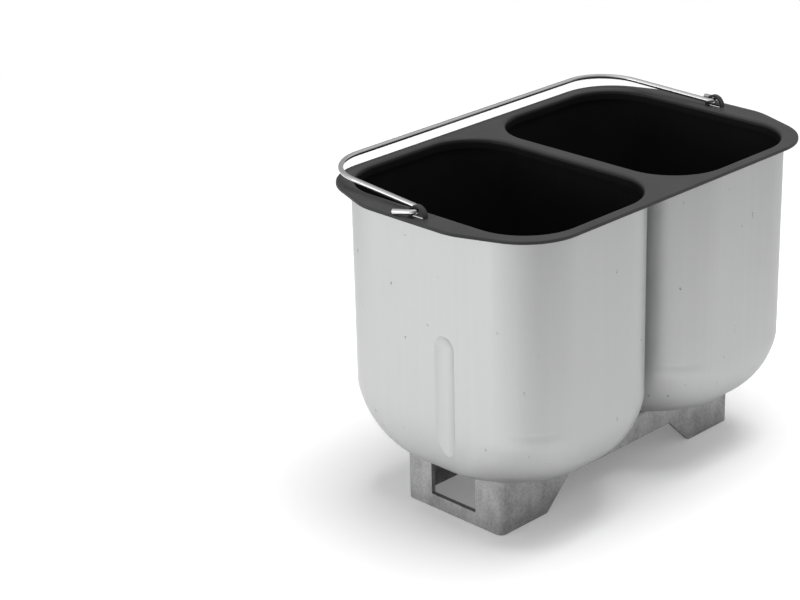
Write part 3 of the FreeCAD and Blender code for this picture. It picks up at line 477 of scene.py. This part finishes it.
def cup_finish(name):
    """Bare satin metal outside with specks and scratches, black coat inside."""
    material, tree, shader, place, normal = start_finish(name)
    cloud = use_group(tree, CLOUDY_TONE, -1000, 300, place,
                      Cloud_Scale=11.0, Grain_Scale=1400.0, Amount=0.07)
    lines = use_group(tree, DRAW_LINES, -1000, 50, place,
                      Stretch=(260.0, 260.0, 4.0), Amount=0.05)
    specks = use_group(tree, SCUFFS, -1000, -200, place,
                       Stretch=(1.0, 1.0, 0.60), Spread=92.0, Size=0.062)
    scratches = use_group(tree, SCUFFS, -1000, -450, place,
                          Stretch=(1.0, 1.0, 0.10), Spread=130.0, Size=0.045)
    marks = larger_of(tree, specks.outputs["Marks"], scratches.outputs["Marks"], -750, -300)
    tone = product_of(tree, cloud.outputs["Tone"], lines.outputs["Tone"], -750, 200)
    metal = toned(tree, CUP_METAL, tone, -550, 300)
    scuffed = node_at(tree, "ShaderNodeMix", -350, 300, data_type="RGBA")
    tree.links.new(marks, scuffed.inputs["Factor"])
    tree.links.new(metal, scuffed.inputs["A"])
    scuffed.inputs["B"].default_value = CUP_SCUFF
    turned = use_group(tree, FACES_CUP, -1000, -700, place)
    tree.links.new(normal, turned.inputs["Normal"])
    coated = turned.outputs["Inside"]
    colour = coat_over(tree, scuffed.outputs["Result"], place, coated, 100, 200)
    tree.links.new(colour, shader.inputs["Base Color"])
    tree.links.new(rest_to_one(tree, coated, 100, -50), shader.inputs["Metallic"])
    satin = ramp_of(tree, cloud.outputs["Height"], UNIT, CUP_ROUGHNESS, -350, 0)
    rough = node_at(tree, "ShaderNodeMix", 100, -200)
    tree.links.new(coated, rough.inputs["Factor"])
    tree.links.new(satin, rough.inputs["A"])
    rough.inputs["B"].default_value = COAT_ROUGHNESS
    tree.links.new(rough.outputs["Result"], shader.inputs["Roughness"])
    shader.inputs["Specular IOR Level"].default_value = COAT_SHINE
    grain_bump(tree, shader, lines.outputs["Height"], strength=0.06, depth=0.0001)
    return material


def rim_finish(name):
    """Dark grey coat on the frame, and the cups' black on its two collars."""
    material, tree, shader, place, normal = start_finish(name)
    cloud = use_group(tree, CLOUDY_TONE, -1000, 300, place,
                      Cloud_Scale=45.0, Grain_Scale=2200.0, Amount=0.55)
    grey = toned(tree, RIM_GREY, cloud.outputs["Tone"], -550, 300)
    turned = use_group(tree, FACES_CUP, -1000, -700, place)
    tree.links.new(normal, turned.inputs["Normal"])
    split = node_at(tree, "ShaderNodeSeparateXYZ", -1000, -950)
    tree.links.new(place, split.inputs[0])
    below = math_of(tree, "LESS_THAN", split.outputs["Z"], RIM_TOP, -800, -950)
    coated = product_of(tree, turned.outputs["Inside"], below, -600, -800)
    colour = coat_over(tree, grey, place, coated, 100, 200)
    tree.links.new(colour, shader.inputs["Base Color"])
    tree.links.new(ramp_of(tree, cloud.outputs["Height"], UNIT, RIM_ROUGHNESS, -350, 0),
                   shader.inputs["Roughness"])
    shader.inputs["Specular IOR Level"].default_value = RIM_SHINE
    grain_bump(tree, shader, cloud.outputs["Height"], strength=0.15, depth=0.0001)
    return material


dress(["front_cup", "rear_cup"], cup_finish("satin_cup_with_black_coat"))
dress(["rim_frame"], rim_finish("dark_coated_rim"))

# %% [markdown]
# ## Wire and base
#
# The bail is plated wire, so it is nearly a mirror and takes its look from the white room. The
# base is a grey casting: dull, cloudy, and rough to the touch.

# %% Wire and base finishes
wire_finish = plain_finish("bright_wire", (0.66, 0.66, 0.66), 1.0, (0.14, 0.26),
                           clouds=80.0, grain=1800.0, amount=0.10,
                           streaks=(8.0, 900.0, 900.0), streak_amount=0.08, bump=0.05)
dress(["bail_handle"], wire_finish)

base_finish = plain_finish("cast_base", (0.40, 0.40, 0.40), 0.75, (0.45, 0.68),
                           clouds=85.0, grain=650.0, amount=0.75,
                           streaks=(190.0, 190.0, 38.0), streak_amount=0.45,
                           bump=0.35, bump_depth=0.0004)
dress(["base_bracket"], base_finish)

# %% [markdown]
# ## The drive line
#
# Under each cup a steel shaft turns in two bronze bushes, with a rubber seal above them. Most of
# it only shows from below or through the foot windows, but each piece still has its own finish,
# so a lifted paddle or a turned-over pan looks right.

# %% Drive line finishes
SIDES = ("front", "rear")


def both_sides(*names):
    """Node names of the front and the rear drive."""
    return [f"{side}_{name}" for side in SIDES for name in names]


dress(both_sides("drive_shaft", "circlip", "thrust_washer", "coupling_pin"),
      plain_finish("turned_steel", (0.60, 0.60, 0.59), 1.0, (0.20, 0.36), clouds=120.0,
                   amount=0.12, streaks=(6.0, 6.0, 2600.0), streak_amount=0.12))
dress(both_sides("seal_cap"),
      plain_finish("pressed_stainless", (0.52, 0.52, 0.51), 1.0, (0.24, 0.40), clouds=90.0,
                   amount=0.14, streaks=(700.0, 20.0, 20.0), streak_amount=0.10))
dress(both_sides("upper_bush", "lower_bush"),
      plain_finish("sintered_bronze", (0.42, 0.27, 0.13), 0.9, (0.42, 0.60), clouds=160.0,
                   grain=2400.0, amount=0.40, bump=0.25))
dress(both_sides("shaft_seal", "cup_gasket"),
      plain_finish("black_silicone", (0.016, 0.016, 0.017), 0.0, (0.50, 0.66), clouds=120.0,
                   amount=0.40, bump=0.15))
dress(both_sides("drive_coupling"),
      plain_finish("cast_coupling", (0.40, 0.40, 0.40), 0.8, (0.40, 0.60), clouds=110.0,
                   grain=1200.0, amount=0.35, bump=0.30, bump_depth=0.0003))
dress(both_sides("kneading_paddle"),
      plain_finish("coated_paddle", (0.012, 0.012, 0.012), 0.0, (0.30, 0.46), clouds=70.0,
                   grain=2400.0, amount=0.5, bump=0.12))
dress(both_sides("cup_rivets"),
      plain_finish("rivet_metal", (0.58, 0.58, 0.58), 1.0, (0.28, 0.46), clouds=140.0,
                   amount=0.18, bump=0.12))
